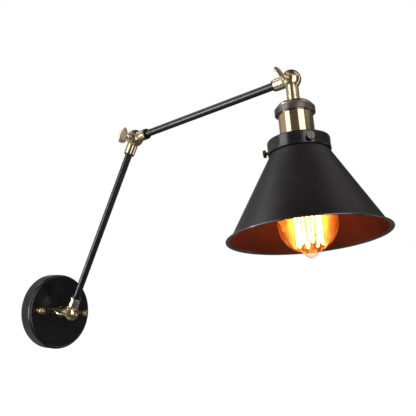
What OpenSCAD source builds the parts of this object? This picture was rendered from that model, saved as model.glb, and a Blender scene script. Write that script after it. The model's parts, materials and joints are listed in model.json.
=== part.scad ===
// Swing arm wall lamp: round canopy, two tube arms on three keyed ball knuckles,
// lampholder with shade gallery, cone shade and a pear-shaped filament bulb.
// The back of the canopy lies on the wall at y = 0, the lamp reaches along -y, z is up.

/* [Rest pose] */
// Lean of the lower arm away from upright, in degrees
lower_arm_lean = 24; // [5:1:45]
// Rise of the upper arm above level, in degrees
upper_arm_rise = 9; // [0:1:11]
// Tilt of the lamp head, mouth away from the wall, in degrees
head_tilt = 11; // [11:1:30]
// Turn of the pointed end of the key at the base from upright, in degrees
base_key_turn = -70; // [-180:1:180]
// Turn of the pointed end of the key at the elbow from upright, in degrees
elbow_key_turn = 16; // [-180:1:180]
// Turn of the pointed end of the key at the head from upright, in degrees
head_key_turn = 147; // [-180:1:180]

/* [Canopy] */
// Diameter of the canopy
canopy_d = 100; // [94:1:130]
// Depth of the canopy off the wall
canopy_depth = 19; // [17:0.5:30]
// Sheet thickness of the canopy
canopy_wall = 1.2; // [0.8:0.1:1.6]
// Radius of the canopy's front edge
canopy_edge_r = 3.6; // [1:0.1:4]

/* [Crossbar] */
// Length of the crossbar
bar_length = 86; // [82:1:88]
// Width of the crossbar
bar_width = 18; // [15:0.5:24]
// Thickness of the crossbar
bar_thickness = 2; // [1.5:0.1:3]
// Spacing of the two wall screw slots
slot_spacing = 50; // [46:1:52]
// Length of a wall screw slot, end to end
slot_length = 10; // [7:0.5:11]
// Width of a wall screw slot
slot_width = 4.5; // [4:0.1:5.5]
// Diameter of the wire hole in the crossbar
bar_wire_hole_d = 12; // [8:0.5:13]
// Distance of the earth screw from the middle
earth_screw_offset = 13; // [12:0.5:14]

/* [Canopy fasteners] */
// Spacing of the two canopy studs
stud_spacing = 72; // [70:1:76]
// Diameter of a stud
stud_d = 4; // [3:0.5:4]
// Width across the flats of a stud's lock nut
stud_nut_flats = 7; // [6.5:0.1:8]
// Height of a stud's lock nut
stud_nut_h = 3.2; // [2:0.1:4]
// Diameter of a ball nut's ball
ball_nut_d = 10; // [8:0.5:12]
// Diameter of a ball nut's foot
ball_nut_foot_d = 8; // [7:0.5:8]
// Height of a ball nut's ball centre above the canopy face
ball_nut_rise = 7.2; // [6:0.1:9]

/* [Swivel] */
// Diameter of the hollow threaded nipples
nipple_d = 10; // [9:0.5:10.5]
// Bore of the nipples
nipple_bore = 7; // [5:0.5:8]
// Length of nipple screwed into a collar
nipple_grip = 9; // [6:0.5:10]
// Diameter of the seat washers
washer_d = 15; // [14:0.5:20]
// Thickness of a seat washer
washer_t = 1; // [0.6:0.1:2]
// Width across the flats of the swivel's lock nut
swivel_nut_flats = 14; // [13:0.5:17]
// Height of the swivel's lock nut
swivel_nut_h = 3.5; // [3:0.1:5]
// Nipple end standing out of the swivel's lock nut
nipple_end = 1.5; // [0.5:0.1:2.5]

/* [Knuckles] */
// Diameter of a knuckle ball
knuckle_d = 22; // [20:0.5:22.5]
// Bevel of a half ball along the seam
seam_bevel = 0.4; // [0.2:0.1:0.6]
// Wall of a knuckle ball
knuckle_wall = 2.6; // [2:0.1:3]
// Diameter of a knuckle collar
collar_d = 14; // [13:0.5:14.5]
// Reach of a collar from the ball centre
collar_reach = 21; // [20:0.5:26]
// Chamfer at the open end of a collar
collar_chamfer = 0.6; // [0.2:0.1:0.9]
// Diameter of the hub round the key screw
hub_d = 8.4; // [8:0.1:9]
// Diameter of the wire way through a collar
wire_way_d = 6.5; // [5:0.5:7]
// Depth of the seat for the key washer, from the pole of the ball
key_seat_depth = 2.1; // [1.9:0.1:2.6]
// Diameter of the seat for the key washer
key_seat_d = 11.4; // [11:0.1:12]

/* [Keys] */
// Diameter of the key screw
key_screw_d = 5; // [4:0.5:6]
// Diameter of the key boss
key_boss_d = 7.4; // [6.8:0.1:8]
// Diameter of the flange under the key boss
key_flange_d = 9.2; // [8.4:0.1:10]
// Thickness of the flange under the key boss
key_flange_t = 0.9; // [0.6:0.1:1.2]
// Reach of the key boss from the ball centre
key_boss_reach = 13; // [12.5:0.5:15]
// Diameter of the neck between boss and leaf
key_neck_d = 5.6; // [4:0.1:6]
// Length of the leaf across the key axis
leaf_length = 21.5; // [16:0.5:26]
// Width of the leaf along the key axis
leaf_width = 13.2; // [10:0.2:15]
// Thickness of the leaf at its rim
leaf_thickness = 2.6; // [2:0.1:3.2]
// Width of the leaf's raised rim
leaf_rim = 1.3; // [0.8:0.1:1.8]
// Depth of the leaf's faces below its rim
leaf_dish = 0.4; // [0.2:0.1:0.6]
// Reach of the key screw past the far side of the ball
key_screw_tail = 0.8; // [0.4:0.1:1.5]
// Thickness of the key washer
key_washer_t = 0.8; // [0.5:0.1:1]
// Gap between the key washer and the wall of its seat
key_washer_gap = 0.4; // [0.3:0.1:0.6]

/* [Arms] */
// Span of the lower arm, ball centre to ball centre
lower_arm_span = 250; // [150:5:400]
// Span of the upper arm, ball centre to ball centre
upper_arm_span = 250; // [150:5:400]
// Outer diameter of the arm tubes
tube_d = 9; // [8:0.5:10]
// Bore of the arm tubes
tube_bore = 7; // [5:0.5:7.2]
// Length of tube held in a collar
tube_grip = 9; // [6:0.5:10]
// Diameter of the black lock rings at the collar ends
lock_ring_d = 13.2; // [12:0.2:14]
// Thickness of a lock ring
lock_ring_t = 2.2; // [1:0.1:3]

/* [Lampholder] */
// Height of the round coupler above the cap
coupler_h = 5.2; // [4:0.1:8]
// Diameter of the round coupler
coupler_d = 14; // [13:0.5:16]
// Rise of the domed cap
cap_rise = 7.6; // [6:0.2:12]
// Wall of the domed cap
cap_wall = 1.2; // [0.8:0.1:1.6]
// Outer diameter of the dark ring
ring_d = 44.2; // [42:0.2:50]
// Height of the dark ring
ring_h = 7.4; // [6:0.2:10]
// Outer diameter of the lampholder shell
shell_d = 37.8; // [37:0.2:39]
// Wall of the lampholder shell
shell_wall = 0.8; // [0.6:0.1:1]
// Length of shell between dark ring and gallery
shell_show = 29.2; // [26:0.1:36]
// Wall of the ceramic core
core_wall = 3; // [2.6:0.1:3.2]
// Inner diameter of the screw contact for the bulb
contact_bore = 26.9; // [26.7:0.1:27.1]
// Wall of the screw contact
contact_wall = 0.4; // [0.3:0.1:0.5]

/* [Gallery] */
// Outer diameter of the gallery
gallery_d = 67.6; // [64:0.2:74]
// Height of the gallery
gallery_h = 14.4; // [12:0.2:18]
// Wall of the gallery
gallery_wall = 1.2; // [0.8:0.1:1.6]
// Head diameter of a gallery screw
gallery_screw_head_d = 8.6; // [6:0.2:9]
// Thickness of a gallery screw's head
gallery_screw_head_t = 2.6; // [2:0.2:4]
// Gap between the gallery and a gallery screw's head
gallery_screw_standoff = 3; // [2:0.2:5]
// Diameter of a gallery screw
gallery_screw_d = 3.5; // [3:0.5:4]
// Direction of the first gallery screw round the head
gallery_screw_turn = 126; // [0:1:360]
// Height of the gallery screws above the gallery's open end
gallery_screw_rise = 5.4; // [4.6:0.1:6.4]
// Height of the gallery nut under the gallery
gallery_nut_h = 4; // [3:0.2:6]

/* [Shade] */
// Outer diameter of the rim
shade_rim_d = 174.6; // [150:0.2:220]
// Height of the cone
shade_cone_h = 89.6; // [80:0.2:120]
// Width of the flat brim
brim_w = 4.4; // [2:0.2:8]
// Drop of the brim
brim_drop = 1; // [0.4:0.1:3]
// Sheet thickness of the shade
shade_wall = 0.9; // [0.6:0.1:1.4]
// Radius of the rolled hem
hem_r = 0.9; // [0.7:0.1:1.4]
// Gap left round the shade's neck in the gallery
neck_gap = 0.9; // [0.7:0.1:1.2]

/* [Bulb] */
// Diameter of the bulb
bulb_d = 63.2; // [58:0.2:66]
// Length of the bulb from socket mouth to tip
bulb_length = 111.6; // [100:0.2:118]
// Glass thickness
glass_wall = 0.8; // [0.6:0.1:1.2]
// Height of the sealed tip below the round of the bulb
pip_h = 6; // [3:0.2:8]
// Diameter of the bulb's screw cap
cap_thread_d = 26.3; // [26:0.1:26.4]
// Length of the bulb's screw cap
bulb_cap_h = 24; // [22:0.5:26]
// Diameter of the bulb's neck at the screw cap
bulb_neck_d = 25; // [23:0.5:25.4]
// Diameter of the filament cage
cage_d = 26; // [20:1:28]
// Height of the filament cage
cage_h = 52; // [40:1:60]
// Number of filament strands in the cage
strand_count = 16; // [10:2:20]
// Diameter of a filament strand
strand_d = 0.6; // [0.4:0.1:0.8]

/* [Fits] */
// Radial clearance of screws, tubes and nipples in their holes
thread_gap = 0.08; // [0.05:0.01:0.1]
// Gap between faces that seat on each other
seat_gap = 0.1; // [0.05:0.01:0.15]
// Gap between a collar and the half ball that swings in it
swing_gap = 0.4; // [0.3:0.05:0.6]

/* [Hidden] */
$fn = 64;

// Overlap between shapes of one solid that are joined
join = 0.5;
// Reach of a cutting shape past the face that it opens
cut = 1;

BRASS = [0.71, 0.58, 0.38];
BLACK = [0.12, 0.12, 0.12];
BRONZE = [0.30, 0.26, 0.26];
STEEL = [0.72, 0.72, 0.74];

// Heights off the wall
face_z = canopy_depth;
base_ball_z = face_z + washer_t + 2 * seat_gap + collar_reach;

// Directions of the links, measured from upright towards the room
lower_arm_turn = lower_arm_lean;
upper_arm_turn = 90 - upper_arm_rise;
head_turn = 180 - head_tilt;
wall_turn = -90;

function reach_point(turn, length) = [0, -length * sin(turn), length * cos(turn)];
base_point = [0, -base_ball_z, 0];
elbow_point = base_point + reach_point(lower_arm_turn, lower_arm_span);
head_point = elbow_point + reach_point(upper_arm_turn, upper_arm_span);

// Knuckle
ball_r = knuckle_d / 2;
cavity_r = ball_r - knuckle_wall;
swing_r = ball_r + swing_gap;
half_face = seat_gap / 2;
key_floor = ball_r - key_seat_depth;
boss_start = key_floor + key_washer_t + 2 * seat_gap;
key_hole_d = key_screw_d + 2 * thread_gap;
screw_end = ball_r + key_screw_tail;
leaf_overlap = 1.5;
key_neck_h = 2;
key_neck_taper = 2.6;
leaf_centre = key_boss_reach + key_neck_h + leaf_width / 2 - leaf_overlap;

// Lampholder stack along the head, measured from the ball centre
coupler_z = collar_reach + seat_gap;
cap_z = coupler_z + coupler_h + seat_gap;
ring_z = cap_z + cap_rise;
ring_end = ring_z + ring_h;
gallery_z = ring_end + shell_show;
gallery_end = gallery_z + gallery_h;
nut_z = gallery_z + gallery_wall + seat_gap;
nipple_bore_r = nipple_d / 2 + thread_gap;
shell_r = shell_d / 2;
shell_bore_r = shell_r - shell_wall;
shell_past_nut = 1;
shell_end = nut_z + gallery_nut_h + shell_past_nut;
skirt_gap = 0.4;
skirt_bore_r = shell_r + skirt_gap;
skirt_r = skirt_bore_r + cap_wall;
ring_lip = 1;
skirt_end = ring_end - ring_lip;
core_r = contact_bore / 2 + contact_wall + seat_gap + core_wall;
core_flange_t = 2.4;
core_drop = 6;
core_floor_z = ring_end + core_drop;
core_floor_t = 3;
core_hole_r = 3;
terminal_offset = 8;
terminal_screw_d = 3;
mouth_drop = 3.4;
mouth_z = gallery_end + mouth_drop;
gallery_r = gallery_d / 2;
gallery_bore_r = gallery_r - gallery_wall;
gallery_screw_z = gallery_end - gallery_screw_rise;

// Shade
neck_r = gallery_bore_r - neck_gap;
bead_gap = 0.3;
bead = neck_gap - bead_gap;
bead_h = 1.6;
bead_taper = 0.5;
neck_z = gallery_screw_z - gallery_screw_d / 2 - seat_gap - bead_taper - bead_h;
shoulder_drop = 0.5;
shoulder_z = gallery_end + shoulder_drop;
cone_end = shoulder_z + shade_cone_h;
rim_r = shade_rim_d / 2;
corner_r = rim_r - brim_w;
cone_slant = atan((corner_r - neck_r) / shade_cone_h);
cone_inset = shade_wall / cos(cone_slant);

// Bulb
bulb_r = bulb_d / 2;
tip_z = mouth_z + bulb_length;
bulb_centre_z = tip_z - pip_h - bulb_r;
bulb_cap_z = mouth_z - bulb_cap_h;
glass_in_cap = 4;
neck_end_z = mouth_z - glass_in_cap;
bulb_contact_h = 2;
pip_r = 4.5;
pip_start = 68;
cage_from_tip = 14;
cage_end = tip_z - cage_from_tip;
cage_start = cage_end - cage_h;
stem_share = 0.72;
stem_end = cage_start + cage_h * stem_share;

// Frames: children draw along their own +z
module on_wall() { rotate([90, 0, 0]) children(); }
module at_link(point, turn) { translate(point) rotate([turn, 0, 0]) children(); }
module on_head() { at_link(head_point, head_turn) children(); }
module towards_x(side) { rotate([0, 90 * side, 0]) children(); }

// Points along an arc and along a curve with four control points
function arc(centre, r, from, to, steps) =
    [for (i = [0:steps]) let (a = from + (to - from) * i / steps) centre + r * [cos(a), sin(a)]];
function bend(a, b, c, d, steps) =
    [for (i = [0:steps]) let (t = i / steps, s = 1 - t)
        s * s * s * a + 3 * s * s * t * b + 3 * s * t * t * c + t * t * t * d];

module ring_of(outer_d, inner_d, h) {
    difference() {
        cylinder(d = outer_d, h = h);
        translate([0, 0, -cut]) cylinder(d = inner_d, h = h + 2 * cut);
    }
}

module hex_nut(flats, h, hole_d) {
    difference() {
        cylinder(d = flats / cos(30), h = h, $fn = 6);
        translate([0, 0, -cut]) cylinder(d = hole_d, h = h + 2 * cut);
    }
}

module each_stud() {
    for (side = [-1, 1]) translate([side * stud_spacing / 2, 0, 0]) children();
}

// Canopy and what holds it to the wall

module crossbar() {
    hole_d = stud_d + 2 * thread_gap;
    slot_run = slot_length - slot_width;
    color(STEEL) on_wall() difference() {
        linear_extrude(bar_thickness) difference() {
            intersection() {
                square([bar_length, bar_width], center = true);
                circle(d = bar_length);
            }
            for (side = [-1, 1]) translate([side * slot_spacing / 2, 0]) {
                square([slot_run, slot_width], center = true);
                for (end = [-1, 1]) translate([end * slot_run / 2, 0]) circle(d = slot_width);
            }
        }
        translate([0, 0, -cut]) {
            cylinder(d = bar_wire_hole_d, h = bar_thickness + 2 * cut);
            each_stud() cylinder(d = hole_d, h = bar_thickness + 2 * cut);
            translate([earth_screw_offset, 0, 0]) cylinder(d = hole_d, h = bar_thickness + 2 * cut);
        }
    }
}

module canopy_studs() {
    short = 1;
    chamfer = 0.5;
    stud_end = face_z + ball_nut_rise - short;
    color(STEEL) on_wall() each_stud() {
        cylinder(d = stud_d, h = stud_end - chamfer);
        translate([0, 0, stud_end - chamfer])
            cylinder(d1 = stud_d, d2 = stud_d - 2 * chamfer, h = chamfer);
    }
}

module stud_lock_nuts() {
    color(STEEL) on_wall() translate([0, 0, bar_thickness + seat_gap]) each_stud()
        hex_nut(stud_nut_flats, stud_nut_h, stud_d + 2 * thread_gap);
}

module earth_screw() {
    head_d = 1.9 * stud_d;
    head_h = 0.6 * stud_d;
    head_z = bar_thickness + seat_gap;
    groove = 1;
    groove_depth = 1;
    color("seagreen") on_wall() translate([earth_screw_offset, 0, 0]) difference() {
        union() {
            cylinder(d = stud_d, h = head_z + join);
            translate([0, 0, head_z]) cylinder(d = head_d, h = head_h);
        }
        translate([-head_d, -groove / 2, head_z + head_h - groove_depth])
            cube([2 * head_d, groove, groove_depth + cut]);
    }
}

module canopy() {
    r = canopy_d / 2;
    edge = canopy_edge_r;
    least_edge = 0.3;
    inner_edge = max(edge - canopy_wall, least_edge);
    stud_play = 0.2;
    outside = concat([[r, 0]], arc([r - edge, face_z - edge], edge, 0, 90, 8), [[0, face_z]]);
    inside = concat([[0, face_z - canopy_wall]],
        arc([r - canopy_wall - inner_edge, face_z - canopy_wall - inner_edge], inner_edge, 90, 0, 6),
        [[r - canopy_wall, 0]]);
    color(BLACK) on_wall() difference() {
        rotate_extrude($fn = 128) polygon(concat(outside, inside));
        translate([0, 0, face_z / 2]) {
            cylinder(r = nipple_bore_r, h = face_z);
            each_stud() cylinder(d = stud_d + 2 * stud_play, h = face_z);
        }
    }
}

module ball_nuts() {
    r = ball_nut_d / 2;
    foot_r = ball_nut_foot_d / 2;
    foot_h = 1.2;
    waist_r = 0.72 * r;
    waist_z = 2;
    start = acos(waist_r / r);
    profile = concat([[0, 0], [foot_r, 0], [foot_r, foot_h], [waist_r, waist_z]],
        arc([0, ball_nut_rise - seat_gap], r, -start, 90, 14));
    color(BRASS) on_wall() translate([0, 0, face_z + seat_gap]) each_stud() difference() {
        rotate_extrude() polygon(profile);
        translate([0, 0, -cut]) cylinder(d = stud_d + 2 * thread_gap, h = ball_nut_rise + cut);
    }
}

// Swivel through the canopy face

module hollow_nipple(length) {
    ring_of(nipple_d, nipple_bore, length);
}

module swivel_nipple() {
    inner_end = face_z - canopy_wall - washer_t - 2 * seat_gap - swivel_nut_h - nipple_end;
    outer_end = base_ball_z - collar_reach + nipple_grip;
    color(STEEL) on_wall() translate([0, 0, inner_end]) hollow_nipple(outer_end - inner_end);
}

module swivel_lock_nut() {
    top = face_z - canopy_wall - washer_t - 2 * seat_gap;
    color(STEEL) on_wall() translate([0, 0, top - swivel_nut_h])
        hex_nut(swivel_nut_flats, swivel_nut_h, 2 * nipple_bore_r);
}

module swivel_washer() {
    ring_of(washer_d, 2 * nipple_bore_r, washer_t);
}

module swivel_inner_washer() {
    color(STEEL) on_wall() translate([0, 0, face_z - canopy_wall - seat_gap - washer_t]) swivel_washer();
}

module swivel_face_washer() {
    color(BRASS) on_wall() translate([0, 0, face_z + seat_gap]) swivel_washer();
}

// Knuckles: one half carries the key seat on the -x side, the other takes the key screw on the +x side

module half_space(side, face) {
    size = 4 * collar_reach;
    translate([side > 0 ? face : -face - size, -size / 2, -size / 2]) cube(size);
}

// Ball turned about the key axis
module ball(r, side) {
    towards_x(side) rotate([0, 0, 90 - 90 * side]) sphere(r = r, $fn = 96);
}

// Half of the ball, bevelled where it meets the other half
module half_ball(side) {
    intersection() {
        ball(ball_r, side);
        half_space(side, half_face);
        towards_x(side) translate([0, 0, half_face])
            cylinder(r1 = ball_r - seam_bevel, r2 = 2 * ball_r - seam_bevel, h = ball_r);
    }
}

module knuckle_half(side, socket_d, grip) {
    difference() {
        union() {
            half_ball(side);
            difference() {
                union() {
                    cylinder(d = collar_d, h = collar_reach - collar_chamfer);
                    translate([0, 0, collar_reach - collar_chamfer])
                        cylinder(d1 = collar_d, d2 = collar_d - 2 * collar_chamfer, h = collar_chamfer);
                }
                intersection() {
                    ball(swing_r, side);
                    half_space(-side, -half_face);
                }
            }
        }
        difference() {
            intersection() {
                ball(cavity_r, side);
                half_space(side, -cut);
            }
            towards_x(side) cylinder(d = hub_d, h = ball_r);
        }
        translate([0, 0, hub_d / 2]) cylinder(d = wire_way_d, h = collar_reach);
        translate([0, 0, collar_reach - grip - seat_gap]) cylinder(d = socket_d, h = grip + cut);
        towards_x(side) translate([0, 0, -cut]) cylinder(d = key_hole_d, h = ball_r + 2 * cut);
        if (side < 0)
            towards_x(side) translate([0, 0, key_floor]) cylinder(d = key_seat_d, h = ball_r);
    }
}

module knuckle_on_tube(point, turn, side) {
    color(BRASS) at_link(point, turn) knuckle_half(side, tube_d + 2 * thread_gap, tube_grip);
}

module knuckle_on_nipple(point, turn, side) {
    color(BRASS) at_link(point, turn) knuckle_half(side, 2 * nipple_bore_r, nipple_grip);
}

module base_wall_knuckle() { knuckle_on_nipple(base_point, wall_turn, 1); }
module base_arm_knuckle() { knuckle_on_tube(base_point, lower_arm_turn, -1); }
module elbow_lower_knuckle() { knuckle_on_tube(elbow_point, lower_arm_turn + 180, -1); }
module elbow_upper_knuckle() { knuckle_on_tube(elbow_point, upper_arm_turn, 1); }
module head_arm_knuckle() { knuckle_on_tube(head_point, upper_arm_turn + 180, -1); }
module head_lamp_knuckle() { knuckle_on_nipple(head_point, head_turn, 1); }

// Keys: screw, flange, boss, neck and a leaf with a raised rim, pointed at one end and round at the other

module lens(length, width) {
    r = (length * length + width * width) / (4 * width);
    intersection_for (side = [-1, 1]) translate([side * (r - width / 2), 0]) circle(r = r, $fn = 160);
}

// A lens longer than the leaf, with its lower point cut off round
module leaf_outline(length, width) {
    longer = 0.3 * length;
    intersection() {
        translate([0, -longer / 2]) lens(length + longer, width);
        circle(d = length, $fn = 160);
    }
}

module leaf() {
    web = leaf_thickness - 2 * leaf_dish;
    difference() {
        translate([0, 0, -leaf_thickness / 2]) linear_extrude(leaf_thickness)
            leaf_outline(leaf_length, leaf_width);
        for (side = [-1, 1])
            translate([0, 0, side * (web + leaf_thickness) / 2 - leaf_thickness / 2])
                linear_extrude(leaf_thickness)
                    leaf_outline(leaf_length - 3 * leaf_rim, leaf_width - 2 * leaf_rim);
    }
}

module key(point, turn) {
    color(BRASS) at_link(point, turn) towards_x(-1) {
        translate([0, 0, -screw_end]) cylinder(d = key_screw_d, h = screw_end + boss_start + join);
        translate([0, 0, boss_start]) cylinder(d = key_flange_d, h = key_flange_t);
        translate([0, 0, boss_start]) cylinder(d = key_boss_d, h = key_boss_reach - boss_start);
        translate([0, 0, key_boss_reach - join])
            cylinder(d1 = key_neck_d, d2 = key_neck_d - key_neck_taper,
                h = join + key_neck_h + leaf_overlap);
        translate([0, 0, leaf_centre]) rotate([90, 0, 0]) rotate([0, 0, -90]) leaf();
    }
}

module key_washer(point) {
    color(STEEL) translate(point) towards_x(-1) translate([0, 0, key_floor + seat_gap])
        ring_of(key_seat_d - 2 * key_washer_gap, key_hole_d, key_washer_t);
}

module base_key() { key(base_point, base_key_turn); }
module elbow_key() { key(elbow_point, elbow_key_turn); }
module head_key() { key(head_point, head_key_turn); }
module base_key_washer() { key_washer(base_point); }
module elbow_key_washer() { key_washer(elbow_point); }
module head_key_washer() { key_washer(head_point); }

// Arms

module arm_tube(point, turn, span) {
    start = collar_reach - tube_grip;
    color(BLACK) at_link(point, turn) translate([0, 0, start])
        ring_of(tube_d, tube_bore, span - 2 * start);
}

module arm_lock_rings(point, turn, span) {
    starts = [collar_reach + seat_gap, span - collar_reach - seat_gap - lock_ring_t];
    color(BLACK) at_link(point, turn) for (start = starts)
        translate([0, 0, start]) ring_of(lock_ring_d, tube_d + 2 * thread_gap, lock_ring_t);
}

module lower_arm_tube() { arm_tube(base_point, lower_arm_turn, lower_arm_span); }
module upper_arm_tube() { arm_tube(elbow_point, upper_arm_turn, upper_arm_span); }
module lower_arm_lock_rings() { arm_lock_rings(base_point, lower_arm_turn, lower_arm_span); }
module upper_arm_lock_rings() { arm_lock_rings(elbow_point, upper_arm_turn, upper_arm_span); }

// Lampholder

module head_nipple() {
    start = collar_reach - nipple_grip;
    end = cap_z + cap_wall + seat_gap + swivel_nut_h + nipple_end;
    color(STEEL) on_head() translate([0, 0, start]) hollow_nipple(end - start);
}

module head_coupler() {
    color(BRASS) on_head() translate([0, 0, coupler_z])
        ring_of(coupler_d, 2 * nipple_bore_r, coupler_h);
}

module cap_lock_nut() {
    color(STEEL) on_head() translate([0, 0, cap_z + cap_wall + seat_gap])
        hex_nut(swivel_nut_flats, swivel_nut_h, 2 * nipple_bore_r);
}

// Dome of the cap: flat crown, quarter-round shoulder, then a skirt inside the dark ring
module socket_cap() {
    crown_r = coupler_d / 2 + 1.5;
    shoulder = 5;
    crown_fall = 0.5;
    side_rise = 3;
    dome_end = ring_z + 0.6;
    outside = concat([[nipple_bore_r, cap_z], [crown_r, cap_z]],
        bend([crown_r, cap_z], [skirt_r - shoulder, cap_z + crown_fall],
             [skirt_r, ring_z - side_rise], [skirt_r, dome_end], 8),
        [[skirt_r, skirt_end]]);
    inside = concat([[skirt_bore_r, skirt_end]],
        bend([skirt_bore_r, dome_end], [skirt_bore_r, ring_z - side_rise + cap_wall],
             [skirt_bore_r - shoulder, cap_z + cap_wall + crown_fall], [crown_r, cap_z + cap_wall], 8),
        [[nipple_bore_r, cap_z + cap_wall]]);
    color(BRASS) on_head() rotate_extrude() polygon(concat(outside, inside));
}

module socket_ring() {
    r = ring_d / 2;
    seat_r = skirt_r + seat_gap;
    hole_r = shell_r + seat_gap;
    edge = 0.9 * (r - seat_r);
    chamfer = 0.5;
    profile = concat([[seat_r, ring_z]], arc([r - edge, ring_z + edge], edge, -90, 0, 5),
        [[r, ring_end - chamfer], [r - chamfer, ring_end], [hole_r, ring_end],
         [hole_r, skirt_end + seat_gap], [seat_r, skirt_end + seat_gap]]);
    color(BRONZE) on_head() rotate_extrude() polygon(profile);
}

module socket_shell() {
    tuck = 2;
    start = ring_z + tuck;
    color(BRASS) on_head() translate([0, 0, start]) ring_of(shell_d, 2 * shell_bore_r, shell_end - start);
}

// Ceramic core: cup for the screw contact with a flange that centres it in the shell
module socket_core() {
    cup_r = core_r - core_wall;
    flange_r = shell_bore_r - seat_gap;
    profile = [[core_hole_r, core_floor_z], [flange_r, core_floor_z],
        [flange_r, core_floor_z + core_flange_t], [core_r, core_floor_z + core_flange_t],
        [core_r, mouth_z], [cup_r, mouth_z], [cup_r, core_floor_z + core_floor_t],
        [core_hole_r, core_floor_z + core_floor_t]];
    color("ivory") on_head() difference() {
        rotate_extrude() polygon(profile);
        for (side = [-1, 1]) translate([side * terminal_offset, 0, core_floor_z - cut])
            cylinder(d = terminal_screw_d + 2 * thread_gap, h = core_floor_t + 2 * cut);
    }
}

module screw_contact() {
    lip = 0.5;
    start = core_floor_z + core_floor_t + seat_gap;
    color(BRASS) on_head() translate([0, 0, start])
        ring_of(contact_bore + 2 * contact_wall, contact_bore, mouth_z - lip - start);
}

// Spring tongue: a rivet through the floor with a sprung disc that meets the bulb's contact
module centre_contact() {
    rivet_gap = 0.2;
    rivet_d = 2 * (core_hole_r - rivet_gap);
    disc_d = 9;
    disc_t = 0.7;
    tail = 1;
    end = bulb_cap_z - bulb_contact_h - seat_gap;
    start = core_floor_z - tail;
    color(BRASS) on_head() {
        translate([0, 0, start]) cylinder(d = rivet_d, h = end - 2 * disc_t + join / 2 - start);
        translate([0, 0, end - 2 * disc_t]) cylinder(d1 = rivet_d, d2 = disc_d, h = disc_t);
        translate([0, 0, end - disc_t]) cylinder(d = disc_d, h = disc_t);
    }
}

module terminal_screws() {
    head_d = 5.5;
    head_h = 1.8;
    seat_z = core_floor_z - seat_gap;
    color(STEEL) on_head() for (side = [-1, 1]) translate([side * terminal_offset, 0, seat_z]) {
        translate([0, 0, -head_h]) cylinder(d = head_d, h = head_h);
        translate([0, 0, -join]) cylinder(d = terminal_screw_d, h = core_floor_t + join);
    }
}

// Gallery that carries the shade

module each_gallery_screw(index) {
    rotate([0, 0, gallery_screw_turn + 120 * index]) translate([0, 0, gallery_screw_z])
        rotate([0, 90, 0]) children();
}

module gallery() {
    hole_r = shell_r + seat_gap;
    edge = 2;
    inner_edge = 1;
    lip = 0.3;
    lip_h = 2.6;
    lip_taper = 0.4;
    outside = concat([[hole_r, gallery_z]], arc([gallery_r - edge, gallery_z + edge], edge, -90, 0, 6),
        [[gallery_r, gallery_end - lip_h], [gallery_r + lip, gallery_end - lip_h + lip_taper],
         [gallery_r + lip, gallery_end - lip_taper], [gallery_r, gallery_end]]);
    inside = concat([[gallery_bore_r, gallery_end]],
        arc([gallery_bore_r - inner_edge, gallery_z + gallery_wall + inner_edge], inner_edge, 0, -90, 4),
        [[hole_r, gallery_z + gallery_wall]]);
    color(BLACK) on_head() difference() {
        rotate_extrude($fn = 96) polygon(concat(outside, inside));
        for (index = [0:2]) each_gallery_screw(index) translate([0, 0, gallery_bore_r - cut])
            cylinder(d = gallery_screw_d + 2 * thread_gap, h = gallery_wall + lip + 2 * cut);
    }
}

module gallery_nut() {
    width = 2.5;
    color(BRONZE) on_head() translate([0, 0, nut_z])
        ring_of(shell_d + 2 * width, shell_d + 2 * seat_gap, gallery_nut_h);
}

module gallery_screw(index) {
    tip = neck_r + seat_gap;
    head = gallery_r + gallery_screw_standoff;
    rim = 0.8;
    groove = 0.9;
    groove_depth = 0.9;
    groove_length = 0.6 * gallery_screw_head_d;
    face = head + gallery_screw_head_t;
    color(BRASS) on_head() each_gallery_screw(index) difference() {
        union() {
            translate([0, 0, tip]) cylinder(d = gallery_screw_d, h = head + join - tip);
            translate([0, 0, head]) cylinder(d = gallery_screw_head_d, h = gallery_screw_head_t - rim / 2);
            translate([0, 0, face - rim / 2])
                cylinder(d1 = gallery_screw_head_d, d2 = gallery_screw_head_d - rim, h = rim / 2);
        }
        translate([0, 0, face - rim / 2]) cylinder(d = gallery_screw_head_d - 3 * rim, h = rim);
        for (turn = [0, 90]) rotate([0, 0, turn])
            translate([-groove_length / 2, -groove / 2, face - rim / 2 - groove_depth])
                cube([groove_length, groove, groove_depth + rim]);
    }
}

module gallery_screw_1() { gallery_screw(0); }
module gallery_screw_2() { gallery_screw(1); }
module gallery_screw_3() { gallery_screw(2); }

// Cone shade with a beaded neck, a flat brim and a rolled hem
module shade() {
    ease_in = 0.6;
    ease_out = 0.4;
    ease_up = 1;
    hem_turn = 110;
    hem_centre = [rim_r - hem_r, cone_end + brim_drop + hem_r - shade_wall];
    outside = [[neck_r - shade_wall, neck_z], [neck_r + bead, neck_z], [neck_r + bead, neck_z + bead_h],
        [neck_r, neck_z + bead_h + bead_taper], [neck_r, shoulder_z],
        [corner_r - ease_in, cone_end - ease_up], [corner_r + ease_out, cone_end]];
    inside = [[corner_r + ease_out, cone_end + shade_wall],
        [corner_r - ease_in - cone_inset, cone_end - ease_up + shade_wall],
        [neck_r - shade_wall, shoulder_z + shade_wall]];
    color(BLACK) on_head() rotate_extrude($fn = 160)
        polygon(concat(outside, arc(hem_centre, hem_r, -hem_turn, hem_turn, 10), inside));
}

// Bulb

// Outline of the glass from the neck to the tip, drawn in by an inset
function bulb_outline(inset) =
    let (neck = bulb_neck_d / 2 - inset, r = bulb_r - inset, waist_z = bulb_centre_z,
         straight = 2, neck_pull = 26, waist_pull = 40, step = 7.5)
    concat(
        [[neck, neck_end_z]],
        bend([neck, mouth_z + straight], [neck, mouth_z + neck_pull],
             [r, waist_z - waist_pull], [r, waist_z], 12),
        arc([0, waist_z], r, step, pip_start - step, 7),
        let (foot = r * [cos(pip_start), sin(pip_start)], run = foot[0] - pip_r)
        bend([foot[0], waist_z + foot[1]], [pip_r + run / 2, waist_z + foot[1] + run / 2 / tan(pip_start)],
             [pip_r, tip_z - inset], [0, tip_z - inset], 8));

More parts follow.
